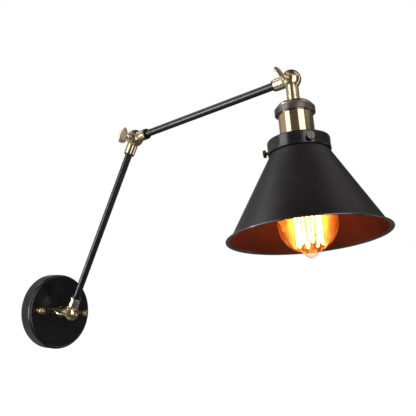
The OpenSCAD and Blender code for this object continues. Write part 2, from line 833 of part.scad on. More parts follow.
module bulb_glass() {
    outer = bulb_outline(0);
    inner = bulb_outline(glass_wall);
    steps = len(inner);
    color([1, 0.85, 0.6, 0.4]) on_head() rotate_extrude($fn = 96)
        polygon(concat(outer, [for (i = [steps - 1:-1:0]) inner[i]]));
}

// Screw cap: a thin sleeve closed at its end, rolled over the neck of the glass
module bulb_cap() {
    r = cap_thread_d / 2;
    wall = 0.3;
    shoulder = 3;
    end_r = 8;
    roll = 1;
    seat_r = bulb_neck_d / 2 + seat_gap;
    profile = [[seat_r, mouth_z], [r, mouth_z], [r, bulb_cap_z + shoulder],
        [end_r, bulb_cap_z], [end_r - wall, bulb_cap_z], [end_r - wall, bulb_cap_z + wall],
        [r - wall, bulb_cap_z + shoulder + wall], [r - wall, neck_end_z - roll], [seat_r, neck_end_z]];
    color(STEEL) on_head() rotate_extrude() polygon(profile);
}

module bulb_contact() {
    tip_d = 8;
    edge_d = 10;
    glass_d = 15;
    step = bulb_contact_h / 2;
    color("dimgray") on_head() translate([0, 0, bulb_cap_z - bulb_contact_h]) {
        cylinder(d1 = tip_d, d2 = edge_d, h = step);
        translate([0, 0, step]) cylinder(d1 = edge_d, d2 = glass_d, h = step);
        translate([0, 0, 2 * step]) cylinder(d = glass_d, h = step);
    }
}

// Glass stem: flare sealed into the neck, then a tube and a rod up the middle of the bulb
module bulb_stem() {
    flare_r = bulb_neck_d / 2 - glass_wall - seat_gap;
    edge = 1.5;
    flare_h = 10;
    tube_r = 4;
    tube_end = cage_start - 12;
    rod_r = 1.6;
    rod_start = cage_start - 4;
    tip = 1;
    profile = concat([[0, neck_end_z], [flare_r, neck_end_z]],
        bend([flare_r, neck_end_z + edge], [tube_r + 1, neck_end_z + 2 * edge],
             [tube_r, neck_end_z + flare_h], [tube_r, tube_end], 6),
        [[rod_r, rod_start], [rod_r, stem_end - tip], [0, stem_end]]);
    color([0.9, 0.95, 0.95, 0.5]) on_head() rotate_extrude($fn = 32) polygon(profile);
}

// Wire spokes from the stem to the corners of the cage
module bulb_supports() {
    wire_r = 0.3;
    weld_gap = 2.4 * strand_d;
    rod_hold = [1.3, stem_end - 2];
    tube_hold = [2.8, cage_start - 9];
    color(STEEL) on_head() for (i = [0:strand_count - 1]) rotate([0, 0, 360 * i / strand_count]) {
        low = i % 2 == 0 ? rod_hold : tube_hold;
        high = [cage_d / 2, i % 2 == 0 ? cage_end : cage_start];
        run = high - low;
        translate([low[0], 0, low[1]]) rotate([0, atan(run[0] / run[1]), 0])
            cylinder(r = wire_r, h = norm(run) - weld_gap, $fn = 16);
    }
}

// Squirrel cage filament: one strand that runs up and down between two circles
module bulb_filament() {
    function corner(i) = let (a = 360 * i / strand_count)
        [cage_d / 2 * cos(a), cage_d / 2 * sin(a), i % 2 == 0 ? cage_end : cage_start];
    color("gold") on_head() for (i = [0:strand_count - 2]) {
        from = corner(i);
        to = corner(i + 1);
        run = to - from;
        length = norm(run);
        translate(from) rotate([0, acos(run[2] / length), atan2(run[1], run[0])])
            cylinder(d = strand_d, h = length, $fn = 16);
        translate(from) sphere(d = strand_d * 1.1, $fn = 16);
    }
}

crossbar();
canopy_studs();
stud_lock_nuts();
earth_screw();
canopy();
ball_nuts();
swivel_nipple();
swivel_lock_nut();
swivel_inner_washer();
swivel_face_washer();
base_wall_knuckle();
base_key();
base_key_washer();
base_arm_knuckle();
lower_arm_tube();
lower_arm_lock_rings();
elbow_lower_knuckle();
elbow_key();
elbow_key_washer();
elbow_upper_knuckle();
upper_arm_tube();
upper_arm_lock_rings();
head_arm_knuckle();
head_key();
head_key_washer();
head_lamp_knuckle();
head_nipple();
head_coupler();
cap_lock_nut();
socket_cap();
socket_ring();
socket_shell();
socket_core();
screw_contact();
centre_contact();
terminal_screws();
gallery();
gallery_nut();
gallery_screw_1();
gallery_screw_2();
gallery_screw_3();
shade();
bulb_glass();
bulb_cap();
bulb_contact();
bulb_stem();
bulb_supports();
bulb_filament();
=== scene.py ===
"""Looks of the swing arm wall lamp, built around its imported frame."""

import json
import math

import bmesh
import bpy
from mathutils import Matrix, Vector


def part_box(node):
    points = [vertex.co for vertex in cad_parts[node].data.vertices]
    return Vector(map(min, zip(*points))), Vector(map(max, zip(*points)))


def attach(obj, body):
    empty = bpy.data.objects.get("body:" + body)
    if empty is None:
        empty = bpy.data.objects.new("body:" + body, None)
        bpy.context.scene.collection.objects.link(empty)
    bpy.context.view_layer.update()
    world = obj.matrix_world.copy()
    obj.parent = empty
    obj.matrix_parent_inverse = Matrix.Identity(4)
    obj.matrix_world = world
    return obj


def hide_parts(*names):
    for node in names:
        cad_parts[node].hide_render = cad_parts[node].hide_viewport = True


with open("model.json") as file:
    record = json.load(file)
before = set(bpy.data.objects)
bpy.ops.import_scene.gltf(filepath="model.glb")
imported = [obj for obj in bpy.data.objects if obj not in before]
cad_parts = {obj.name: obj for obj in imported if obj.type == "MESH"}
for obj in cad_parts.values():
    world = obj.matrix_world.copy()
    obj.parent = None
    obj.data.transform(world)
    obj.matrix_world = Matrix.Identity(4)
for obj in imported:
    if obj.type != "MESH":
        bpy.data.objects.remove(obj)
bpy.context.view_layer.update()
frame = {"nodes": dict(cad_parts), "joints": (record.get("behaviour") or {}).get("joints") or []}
scene = bpy.context.scene
MM = 0.001

# Places of the joints and links, taken from the frame


def joint_point(name):
    """Where a joint of the frame turns."""
    return next(Vector(joint["pos_m"]) for joint in frame["joints"] if joint["name"] == name)


def middle(node):
    """Middle of a CAD node's box."""
    low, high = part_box(node)
    return (low + high) / 2


def placed(x_axis, y_axis, z_axis, origin):
    """Matrix of a frame with these axes and this origin."""
    return Matrix((
        (x_axis.x, y_axis.x, z_axis.x, origin.x),
        (x_axis.y, y_axis.y, z_axis.y, origin.y),
        (x_axis.z, y_axis.z, z_axis.z, origin.z),
        (0, 0, 0, 1)))


def link(start, end):
    """Frame at start whose z axis runs to end, with x across the lamp."""
    along = (end - start).normalized()
    across = Vector((1, 0, 0))
    return placed(across, along.cross(across), along, start)


def reach(node, place):
    """Lowest and highest place of a CAD node along a link, and its largest radius round it, in mm."""
    into = place.inverted()
    points = [into @ vertex.co / MM for vertex in frame["nodes"][node].data.vertices]
    heights = [point.z for point in points]
    return min(heights), max(heights), max(point.xy.length for point in points)


BASE = joint_point("base_knuckle")
ELBOW = joint_point("elbow_knuckle")
HEAD = joint_point("head_knuckle")
LOWER_LINK = link(BASE, ELBOW)
UPPER_LINK = link(ELBOW, HEAD)
HEAD_LINK = link(HEAD, middle("screw_contact"))

# Camera, fitted to the photo by the lamp's own sizes

CAMERA_AT = Vector((-0.67455, -0.89769, 0.00313))
YAW = math.radians(47.455)
PITCH = math.radians(7.927)
ROLL = math.radians(3.618)
LENS = 68.743
SENSOR_WIDTH = 36
CLIP_START = 0.01
CLIP_END = 100

forward = Vector((math.sin(YAW) * math.cos(PITCH), math.cos(YAW) * math.cos(PITCH), math.sin(PITCH)))
level_forward = Vector((math.sin(YAW), math.cos(YAW), 0))
level_right = Vector((math.cos(YAW), -math.sin(YAW), 0))
level_up = level_right.cross(forward)
right = level_right * math.cos(ROLL) + level_up * math.sin(ROLL)
up = level_up * math.cos(ROLL) - level_right * math.sin(ROLL)


def set_up_camera():
    """Camera of the picture."""
    data = bpy.data.cameras.new("camera")
    data.lens = LENS
    data.sensor_width = SENSOR_WIDTH
    data.clip_start = CLIP_START
    data.clip_end = CLIP_END
    camera = bpy.data.objects.new("camera", data)
    scene.collection.objects.link(camera)
    camera.matrix_world = placed(right, up, -forward, CAMERA_AT)
    scene.camera = camera
    scene.view_settings.view_transform = "Standard"


set_up_camera()

# Soft boxes: one on each side, a narrow strip for the arms and a small high one for the shade's left

LAMP_MIDDLE = Vector((0, -0.28, 0.14))
BOX_DISTANCE = 1.7


def from_camera_side(turn, height=0.0):
    """Direction from the lamp: degrees from the camera's side, where minus is left, and degrees up."""
    turn = math.radians(turn)
    level = level_right * math.sin(turn) - level_forward * math.cos(turn)
    height = math.radians(height)
    return level * math.cos(height) + Vector((0, 0, math.sin(height)))


def softbox(name, turn, height, size, radiance):
    """Flat light that faces the lamp's middle, with its size in metres."""
    data = bpy.data.lights.new(name, "AREA")
    data.shape = "RECTANGLE"
    data.size, data.size_y = size
    data.energy = radiance * math.pi * size[0] * size[1]
    box = bpy.data.objects.new(name, data)
    scene.collection.objects.link(box)
    towards = from_camera_side(turn, height)
    box.location = LAMP_MIDDLE + towards * BOX_DISTANCE
    box.rotation_euler = towards.to_track_quat("Z", "Y").to_euler()
    return box


softbox("softbox_left", turn=-63, height=4, size=(0.86, 2.3), radiance=2.9)
softbox("softbox_right", turn=29.5, height=2, size=(1.16, 2.2), radiance=2.9)
strip = softbox("strip_left", turn=-80, height=-10, size=(0.26, 0.70), radiance=27)
strip.visible_diffuse = False
high_box = softbox("softbox_high_left", turn=-116, height=45, size=(0.5, 0.5), radiance=2.6)
high_box.visible_diffuse = False

# Node trees


def node_tree(owner):
    """Empty node tree of a material or of the world."""
    owner.use_nodes = True
    owner.node_tree.nodes.clear()
    return owner.node_tree


def add_node(tree, kind, entries=None, settings=None):
    """Node with its settings set, and each named entry given a value or another node's output."""
    made = tree.nodes.new(kind)
    for name, value in (settings or {}).items():
        setattr(made, name, value)
    for name, value in (entries or {}).items():
        if isinstance(value, bpy.types.NodeSocket):
            tree.links.new(value, made.inputs[name])
        else:
            made.inputs[name].default_value = value
    return made


def calculated(tree, operation, first, second, clamped=False):
    """Output of a math node on two values."""
    settings = {"operation": operation, "use_clamp": clamped}
    return add_node(tree, "ShaderNodeMath", {0: first, 1: second}, settings).outputs[0]


def mixed_shader(tree, share, first, second):
    """Output of a mix of two shaders."""
    return add_node(tree, "ShaderNodeMixShader", {0: share, 1: first, 2: second}).outputs[0]


def mixed_colour(tree, share, first, second):
    """Output of a mix of two colours."""
    entries = {"Factor": share, "A": first, "B": second}
    return add_node(tree, "ShaderNodeMix", entries, {"data_type": "RGBA"}).outputs["Result"]


def noise(tree, scale, detail=2, roughness=0.5):
    """Output of a noise over the object's own coordinates."""
    place = add_node(tree, "ShaderNodeTexCoord").outputs["Object"]
    entries = {"Vector": place, "Scale": scale, "Detail": detail, "Roughness": roughness}
    return add_node(tree, "ShaderNodeTexNoise", entries).outputs["Fac"]


def background_rays(tree):
    """One where the camera, a reflection or clear glass looks at the background, else zero."""
    path = add_node(tree, "ShaderNodeLightPath")
    total = path.outputs["Is Camera Ray"]
    for name in ("Is Glossy Ray", "Is Transmission Ray"):
        total = calculated(tree, "ADD", total, path.outputs[name], clamped=True)
    return total


# White surroundings and a pale floor

WHITE = (1, 1, 1, 1)
FILL_LEVEL = 0.30
WHITE_LEVEL = 1.0
FLOOR_Z = -1.5
FLOOR_HALF = 40
FLOOR_GREY = 0.82
FLOOR_LIFT = 0.85


def set_up_world():
    """Even fill for the object, plain white where the camera and reflections look past it."""
    scene.world = bpy.data.worlds.new("world")
    tree = node_tree(scene.world)
    fill = add_node(tree, "ShaderNodeBackground", {"Color": WHITE, "Strength": FILL_LEVEL})
    white = add_node(tree, "ShaderNodeBackground", {"Color": WHITE, "Strength": WHITE_LEVEL})
    both = mixed_shader(tree, background_rays(tree), fill.outputs[0], white.outputs[0])
    add_node(tree, "ShaderNodeOutputWorld", {"Surface": both})


def stage_mesh(name, vertices, faces, material):
    """Mesh that belongs to the studio and not to the lamp."""
    mesh = bpy.data.meshes.new(name)
    mesh.from_pydata(vertices, [], faces)
    mesh.materials.append(material)
    obj = bpy.data.objects.new(name, mesh)
    scene.collection.objects.link(obj)
    return obj


def floor():
    """Pale floor that keeps the shadow and is lifted to white for the camera and in reflections."""
    material = bpy.data.materials.new("floor")
    tree = node_tree(material)
    diffuse = add_node(tree, "ShaderNodeBsdfDiffuse", {"Color": (FLOOR_GREY, FLOOR_GREY, FLOOR_GREY, 1)})
    level = calculated(tree, "MULTIPLY", background_rays(tree), FLOOR_LIFT)
    lift = add_node(tree, "ShaderNodeEmission", {"Color": WHITE, "Strength": level})
    both = add_node(tree, "ShaderNodeAddShader", {0: diffuse.outputs[0], 1: lift.outputs[0]})
    add_node(tree, "ShaderNodeOutputMaterial", {"Surface": both.outputs[0]})
    half = FLOOR_HALF
    corners = [(x, y, FLOOR_Z) for x, y in ((-half, -half), (half, -half), (half, half), (-half, half))]
    stage_mesh("floor", corners, [(0, 1, 2, 3)], material)


# Screens and cards that only reflections see

SCREEN_RADIUS = 3.5
SCREEN_STEPS = 120
SCREEN_HEIGHTS = (-88, -70, -50, -40, *range(-32, 72, 4), 80, 90)
# How far down to the floor the screens reach, and their least grey level
LOWEST_SHARE = 0.98
DARKEST = 0.04
# Grey level of the screens round the lamp, by turn from the camera's side, and how it fades upwards
SCREENS = [(-180, 0.08), (-160, 0.14), (-140, 0.36), (-110, 0.52), (-86, 0.46), (-72, 0.14), (-30, 0.10),
           (12, 0.10), (80, 0.10), (100, 0.08), (160, 0.10), (180, 0.08)]
SCREEN_FADE = [(-90, 1.0), (25, 1.0), (45, 0.8), (65, 0.5), (80, 0.3), (90, 0.2)]
# White cards, each with its level by turn and its fade by height: one high on the picture's right,
# one high in front, one low on the right and one narrow behind the lamp
RIGHT_CARD = [(-180, 0.0), (50, 0.0), (70, 0.85), (104, 0.85), (118, 0.15), (150, 0.1), (180, 0.0)]
RIGHT_CARD_FADE = [(-90, 0.0), (28, 0.0), (38, 1.0), (66, 1.0), (80, 0.0), (90, 0.0)]
FRONT_CARD = [(-180, 0.0), (-85, 0.0), (-70, 0.45), (40, 0.45), (60, 0.0), (180, 0.0)]
FRONT_CARD_FADE = [(-90, 0.0), (32, 0.0), (38, 1.0), (50, 1.0), (58, 0.0), (90, 0.0)]
LOW_CARD = [(-180, 0.0), (82, 0.0), (88, 1.4), (108, 1.4), (116, 0.0), (180, 0.0)]
LOW_CARD_FADE = [(-90, 0.0), (-36, 0.0), (-30, 1.0), (-15, 1.0), (-10, 0.0), (90, 0.0)]
BACK_CARD = [(-180, 1.0), (-165, 1.0), (-155, 0.0), (160, 0.0), (168, 1.0), (180, 1.0)]
BACK_CARD_FADE = [(-90, 0.0), (10, 0.0), (15, 1.0), (24, 1.0), (30, 0.0), (90, 0.0)]
CARDS = [(RIGHT_CARD, RIGHT_CARD_FADE), (FRONT_CARD, FRONT_CARD_FADE), (LOW_CARD, LOW_CARD_FADE),
         (BACK_CARD, BACK_CARD_FADE)]


def between(table, value):
    """Level in a table of (place, level) at a value."""
    for (a, low), (b, high) in zip(table, table[1:]):
        if a <= value <= b:
            return low + (high - low) * (value - a) / (b - a)
    return table[-1][1]


def screen_level(turn, height):
    """Grey level of the screens at a turn and a height."""
    base = between(SCREENS, turn) * between(SCREEN_FADE, height)
    return max([DARKEST, base] + [between(card, turn) * between(fade, height) for card, fade in CARDS])


def screens():
    """Dome of grey screens round the lamp, flattened to a sheet where it would meet the floor."""
    material = bpy.data.materials.new("screens")
    tree = node_tree(material)
    level = add_node(tree, "ShaderNodeAttribute", settings={"attribute_name": "level"})
    glow = add_node(tree, "ShaderNodeEmission", {"Strength": level.outputs["Fac"]})
    add_node(tree, "ShaderNodeOutputMaterial", {"Surface": glow.outputs[0]})
    deepest = LOWEST_SHARE * (LAMP_MIDDLE.z - FLOOR_Z)
    rows = len(SCREEN_HEIGHTS)
    vertices, faces, levels = [], [], []
    for i in range(SCREEN_STEPS + 1):
        turn = -180 + 360 * i / SCREEN_STEPS
        for height in SCREEN_HEIGHTS:
            towards = from_camera_side(turn, height)
            distance = SCREEN_RADIUS
            if towards.z < 0:
                distance = min(SCREEN_RADIUS, deepest / -towards.z)
            vertices.append(tuple(LAMP_MIDDLE + towards * distance))
            levels.append(screen_level(turn, height))
    for i in range(SCREEN_STEPS):
        for k in range(rows - 1):
            a = i * rows + k
            faces.append((a, a + rows, a + rows + 1, a + 1))
    dome = stage_mesh("screens", vertices, faces, material)
    values = dome.data.attributes.new("level", "FLOAT", "POINT")
    values.data.foreach_set("value", levels)
    dome.visible_camera = False
    dome.visible_diffuse = False
    dome.visible_transmission = False
    dome.visible_volume_scatter = False
    dome.visible_shadow = False


set_up_world()
floor()
screens()

# Materials of metal, paint and ceramic

CLOUD_DETAIL = 6
CLOUD_ROUGHNESS = 0.62
# Values of the cloud between which the colour and the roughness change
CLOUD_ENDS = (0.32, 0.68)
ROUGHNESS_ENDS = (0.3, 0.7)
SMOOTHEST = 0.02
FINE_DETAIL = 3
BUMP_DEPTH = 0.4
EDGE_SAMPLES = 4
# Cosine between the softened and the true normal where the paler edge colour starts and where it is full.
# That colour is wear, and on the black canopy and gallery it is partly a painted highlight.
WEAR_AND_SHEEN_START = 0.995
WEAR_AND_SHEEN_FULL = 0.85


def cloudy_colour(tree, cloud, low, high):
    """Colour that runs from low to high over the middle of the cloud's values."""
    ramp = add_node(tree, "ShaderNodeValToRGB", {"Fac": cloud})
    for stop, position, colour in zip(ramp.color_ramp.elements, CLOUD_ENDS, (low, high)):
        stop.position = position
        stop.color = (*colour, 1)
    return ramp.outputs["Color"]


def cloudy_roughness(tree, cloud, roughness, spread):
    """Roughness that swings about its mean with the cloud."""
    entries = {"Value": cloud, "From Min": ROUGHNESS_ENDS[0], "From Max": ROUGHNESS_ENDS[1],
               "To Min": max(roughness - spread, SMOOTHEST), "To Max": roughness + spread}
    return add_node(tree, "ShaderNodeMapRange", entries).outputs[0]


def edge_wear_and_sheen_colour(tree, colour, soft_normal, cloud, edge_wear_and_sheen):
    """Paler colour in patches where the softened normal leaves the true one, along edges: rubbed wear, and
    on the black canopy and gallery partly a painted highlight.
    """
    true_normal = add_node(tree, "ShaderNodeNewGeometry").outputs["Normal"]
    bend = add_node(tree, "ShaderNodeVectorMath", {0: soft_normal, 1: true_normal},
                    {"operation": "DOT_PRODUCT"}).outputs["Value"]
    entries = {"Value": bend, "From Min": WEAR_AND_SHEEN_START, "From Max": WEAR_AND_SHEEN_FULL}
    wear_and_sheen_mask = add_node(tree, "ShaderNodeMapRange", entries).outputs[0]
    patches = calculated(tree, "MULTIPLY", wear_and_sheen_mask, cloud)
    return mixed_colour(tree, patches, colour, (*edge_wear_and_sheen, 1))


def surface(name, low, high, roughness, metallic=0.0, scale=40, bump=0.02, bump_scale=900, edge_wear_and_sheen=None,
            specular=0.5, coat=0.0, rough_spread=0.06, edge=0.25):
    """Cloudy surface between two colours, with a fine bump, edges soft by a radius in mm, and a paler edge
    colour that is wear on most parts and partly a painted highlight on the black canopy and gallery.
    """
    material = bpy.data.materials.new(name)
    tree = node_tree(material)
    cloud = noise(tree, scale, CLOUD_DETAIL, CLOUD_ROUGHNESS)
    fine = noise(tree, bump_scale, FINE_DETAIL)
    entries = {"Strength": bump, "Distance": BUMP_DEPTH * MM, "Height": fine}
    relief = add_node(tree, "ShaderNodeBump", entries)
    colour = cloudy_colour(tree, cloud, low, high)
    if edge is not None:
        entries = {"Radius": edge * MM}
        soft = add_node(tree, "ShaderNodeBevel", entries, {"samples": EDGE_SAMPLES}).outputs[0]
        tree.links.new(soft, relief.inputs["Normal"])
        if edge_wear_and_sheen is not None:
            colour = edge_wear_and_sheen_colour(tree, colour, soft, cloud, edge_wear_and_sheen)
    shader = add_node(tree, "ShaderNodeBsdfPrincipled", {
        "Base Color": colour, "Metallic": metallic, "Specular IOR Level": specular, "Coat Weight": coat,
        "Roughness": cloudy_roughness(tree, cloud, roughness, rough_spread),
        "Normal": relief.outputs[0]})
    add_node(tree, "ShaderNodeOutputMaterial", {"Surface": shader.outputs[0]})
    return material


PALE_EDGE = (0.90, 0.82, 0.66)
KNUCKLE_BRASS = surface("knuckle_brass", (0.58, 0.46, 0.28), (0.72, 0.60, 0.41), 0.18, metallic=1,
                        scale=55, bump=0.01, bump_scale=1400, edge_wear_and_sheen=PALE_EDGE, rough_spread=0.04)
KEY_BRASS = surface("key_brass", (0.68, 0.54, 0.37), (0.80, 0.67, 0.49), 0.27, metallic=1, scale=30,
                    bump=0.0, bump_scale=900, rough_spread=0.03, edge=None)
SHELL_BRASS = surface("shell_brass", (0.66, 0.50, 0.28), (0.73, 0.57, 0.34), 0.13, metallic=1, scale=35,
                      bump=0.02, bump_scale=1200, edge_wear_and_sheen=PALE_EDGE, rough_spread=0.03)
NUT_BRASS = surface("nut_brass", (0.30, 0.21, 0.12), (0.42, 0.31, 0.19), 0.34, metallic=1, scale=90,
                    bump=0.02, bump_scale=1400, edge_wear_and_sheen=(0.7, 0.58, 0.42))
CONTACT = surface("contact_brass", (0.62, 0.42, 0.16), (0.80, 0.60, 0.28), 0.28, metallic=1, scale=80,
                  bump=0.04, edge_wear_and_sheen=(0.9, 0.75, 0.45))
# The canopy's pale grey edge colour is partly rubbed paint and partly a painted highlight along its
# rounded front edge.
CANOPY_BLACK = surface("canopy_black", (0.0042, 0.004, 0.0046), (0.007, 0.0066, 0.0076), 0.21, scale=60,
                       bump=0.01, bump_scale=2600, edge_wear_and_sheen=(0.30, 0.29, 0.31), specular=0.45, edge=1.3)
ARM_BLACK = surface("arm_black", (0.0035, 0.003, 0.0035), (0.006, 0.0055, 0.006), 0.29, scale=60,
                    bump=0.0, bump_scale=2200, specular=0.38, rough_spread=0.02, edge=None)
# The gallery's grey edge colour is partly rubbed paint and partly a painted highlight along its edges.
GALLERY_BLACK = surface("gallery_black", (0.005, 0.0045, 0.005), (0.008, 0.0075, 0.008), 0.21, scale=60,
                        bump=0.01, bump_scale=2600, edge_wear_and_sheen=(0.16, 0.155, 0.165), specular=0.65)
SHADE_BLACK = surface("shade_black", (0.0062, 0.0046, 0.0048), (0.0105, 0.0075, 0.0078), 0.40, scale=24,
                      bump=0.02, bump_scale=2400, specular=0.4, edge=None)
HEM_BLACK = surface("hem_black", (0.006, 0.005, 0.005), (0.011, 0.009, 0.009), 0.26, scale=60,
                    bump=0.02, bump_scale=1800, specular=0.8, coat=0.7, edge=None)
INNER_BLACK = surface("inner_black", (0.011, 0.0055, 0.004), (0.018, 0.009, 0.006), 0.55, scale=30,
                      bump=0.03, bump_scale=1800, specular=0.04, edge=None)
BRONZE = surface("dark_bronze", (0.095, 0.08, 0.08), (0.17, 0.145, 0.14), 0.34, metallic=0.75, scale=70,
                 bump=0.10, bump_scale=1500, edge_wear_and_sheen=(0.42, 0.37, 0.34))
STEEL = surface("zinc_steel", (0.52, 0.52, 0.54), (0.70, 0.70, 0.72), 0.32, metallic=1, scale=120,
                bump=0.05, edge_wear_and_sheen=(0.85, 0.85, 0.86))
SCREW = surface("screw_metal", (0.08, 0.065, 0.05), (0.13, 0.105, 0.085), 0.30, metallic=1, scale=160,
                bump=0.03, edge_wear_and_sheen=(0.60, 0.52, 0.42))
GREEN = surface("earth_green", (0.03, 0.22, 0.07), (0.06, 0.34, 0.12), 0.4, scale=150, bump=0.05,
                edge_wear_and_sheen=(0.5, 0.5, 0.45))
CERAMIC = surface("ceramic", (0.72, 0.69, 0.62), (0.82, 0.80, 0.74), 0.3, scale=60, bump=0.05,
                  bump_scale=500, coat=0.4)
CONTACT_BLACK = surface("contact_black", (0.02, 0.02, 0.022), (0.05, 0.05, 0.055), 0.35, scale=160,
                        bump=0.08)

# Materials of the lit bulb

# Share of the light that the glass spreads, how much of that goes on through it, and how steeply the
# gloss grows to its edges
HAZE_SHARE = 0.056
HALO_SHARE = 0.92
EDGE_POWER = 5
GLASS_SCALE = 30
GLOW_SCALE = 150
GLOW_SPREAD = 0.15


def amber_glass():
    """Clear amber glass that the filament lights softly, with gloss at its edges."""
    material = bpy.data.materials.new("bulb_glass")
    tree = node_tree(material)
    tint = mixed_colour(tree, noise(tree, GLASS_SCALE), (1.0, 0.965, 0.90, 1), (1.0, 0.95, 0.86, 1))
    clear = add_node(tree, "ShaderNodeBsdfTransparent", {"Color": tint}).outputs[0]
    lit = add_node(tree, "ShaderNodeBsdfTranslucent", {"Color": (1.0, 0.6, 0.12, 1)}).outputs[0]
    halo = add_node(tree, "ShaderNodeBsdfRefraction", {"Color": (1.0, 0.8, 0.3, 1), "IOR": 1.6,
                                                       "Roughness": 0.55}).outputs[0]
    gloss = add_node(tree, "ShaderNodeBsdfGlossy", {"Color": (0.75, 0.6, 0.45, 1),
                                                    "Roughness": 0.04}).outputs[0]
    haze = mixed_shader(tree, HALO_SHARE, lit, halo)
    body = mixed_shader(tree, HAZE_SHARE, clear, haze)
    slant = add_node(tree, "ShaderNodeLayerWeight", {"Blend": 0.5}).outputs["Facing"]
    edge = calculated(tree, "POWER", slant, EDGE_POWER)
    skin = mixed_shader(tree, edge, body, gloss)
    add_node(tree, "ShaderNodeOutputMaterial", {"Surface": skin})
    return material


def glowing(name, colour, strength, base, roughness):
    """Surface that gives off light, stronger and weaker along it."""
    material = bpy.data.materials.new(name)
    tree = node_tree(material)
    entries = {"Value": noise(tree, GLOW_SCALE), "To Min": (1 - GLOW_SPREAD) * strength,
               "To Max": (1 + GLOW_SPREAD) * strength}
    level = add_node(tree, "ShaderNodeMapRange", entries).outputs[0]
    shader = add_node(tree, "ShaderNodeBsdfPrincipled", {
        "Base Color": (*base, 1), "Roughness": roughness, "Emission Color": (*colour, 1),
        "Emission Strength": level})
    add_node(tree, "ShaderNodeOutputMaterial", {"Surface": shader.outputs[0]})
    return material


GLASS = amber_glass()
FILAMENT = glowing("filament", (1.0, 0.42, 0.14), 70, (0.3, 0.2, 0.1), 0.5)
# The stem glass gives off a painted glow that stands in for the filament's light scattered through the
# bulb's core; real stem glass gives no light of its own.
STEM_PAINTED_GLOW = glowing("stem_glass", (1.0, 0.62, 0.25), 1.2, (0.9, 0.8, 0.6), 0.2)

# Which CAD nodes have which material

FINISHES = [
    (STEEL, ["crossbar", "canopy_studs", "stud_lock_nuts", "swivel_nipple", "swivel_lock_nut",
             "swivel_inner_washer", "head_nipple", "cap_lock_nut", "terminal_screws", "bulb_cap",
             "bulb_supports"]),
    (GREEN, ["earth_screw"]),
    (CANOPY_BLACK, ["canopy"]),
    (NUT_BRASS, ["ball_nuts", "base_key_washer", "elbow_key_washer", "head_key_washer"]),
    (KNUCKLE_BRASS, ["swivel_face_washer", "base_wall_knuckle", "base_arm_knuckle",
                     "elbow_lower_knuckle", "elbow_upper_knuckle", "head_arm_knuckle", "head_lamp_knuckle",
                     "head_coupler"]),
    (KEY_BRASS, ["base_key", "elbow_key", "head_key"]),
    (ARM_BLACK, ["lower_arm_tube", "lower_arm_lock_rings", "upper_arm_tube", "upper_arm_lock_rings"]),
    (SHELL_BRASS, ["socket_cap", "socket_shell"]),
    (BRONZE, ["socket_ring", "gallery_nut"]),
    (CERAMIC, ["socket_core"]),
    (CONTACT, ["screw_contact", "centre_contact"]),
    (GALLERY_BLACK, ["gallery"]),
    (SCREW, ["gallery_screw_1", "gallery_screw_2", "gallery_screw_3"]),
    (SHADE_BLACK, ["shade"]),
    (GLASS, ["bulb_glass"]),
    (CONTACT_BLACK, ["bulb_contact"]),
    (STEM_PAINTED_GLOW, ["bulb_stem"]),
    (FILAMENT, ["bulb_filament"]),
]
for material, nodes in FINISHES:
    for name in nodes:
        for place in frame["nodes"][name].material_slots:
            place.material = material

# Pieces turned round an axis, drawn in mm

ON_AXIS = 1e-6
NEARLY_STRAIGHT = math.radians(150)
ROUND_STEPS = 4
# A round takes no more than this share of a side, is left out below this run in mm, and has its
# holding points at this share of its run
MOST_OF_SIDE = 0.4
LEAST_RUN = 0.01
HOLD_SHARE = 1.15


def arc(centre, radius, start, end, steps):
    """Points along an arc in the outline's plane, angles in degrees."""
    angles = [math.radians(start + (end - start) * i / steps) for i in range(steps + 1)]
    return [Vector(centre) + radius * Vector((math.cos(a), math.sin(a))) for a in angles]


def soften(corners, radius):
    """Closed outline with its corners rounded and a holding point beside each round."""
    points = []
    count = len(corners)
    for i, corner in enumerate(corners):
        here = Vector(corner)
        before = Vector(corners[i - 1]) - here
        after = Vector(corners[(i + 1) % count]) - here
        bend = before.angle(after)
        if here.x < ON_AXIS or bend > NEARLY_STRAIGHT:
            points.append(here)
            continue
        run = min(radius / math.tan(bend / 2), MOST_OF_SIDE * before.length, MOST_OF_SIDE * after.length)
        if run < LEAST_RUN:
            points.append(here)
            continue
        hold = HOLD_SHARE * run
        first = here + before.normalized() * run
        last = here + after.normalized() * run
        points.append(here + before.normalized() * hold)
        for k in range(ROUND_STEPS + 1):
            t = k / ROUND_STEPS
            points.append(first * (1 - t) ** 2 + here * 2 * t * (1 - t) + last * t ** 2)
        points.append(here + after.normalized() * hold)
    return points


def new_piece(name, mesh_data, place, body, materials):
    """Object of the lamp at a place, smooth, riding on its body."""
    mesh = bpy.data.meshes.new(name)
    bmesh.ops.recalc_face_normals(mesh_data, faces=mesh_data.faces)
    for face in mesh_data.faces:
        face.smooth = True
    mesh_data.to_mesh(mesh)
    mesh_data.free()
    for material in materials:
        mesh.materials.append(material)
    obj = bpy.data.objects.new(name, mesh)
    scene.collection.objects.link(obj)
    obj.matrix_world = place
    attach(obj, body)
    return obj


def join_rings(mesh_data, ring, beyond, material_index=0):
    """Faces between two rings, either of which may be one point repeated."""
    for i in range(len(ring)):
        after = (i + 1) % len(ring)
        corners = [ring[i], ring[after], beyond[after], beyond[i]]
        unique = [corner for j, corner in enumerate(corners) if corner not in corners[:j]]
        mesh_data.faces.new(unique).material_index = material_index


def on_ring(radius, turn, height):
    """Point round z in metres, from sizes in mm."""
    return (radius * math.cos(turn) * MM, radius * math.sin(turn) * MM, height * MM)


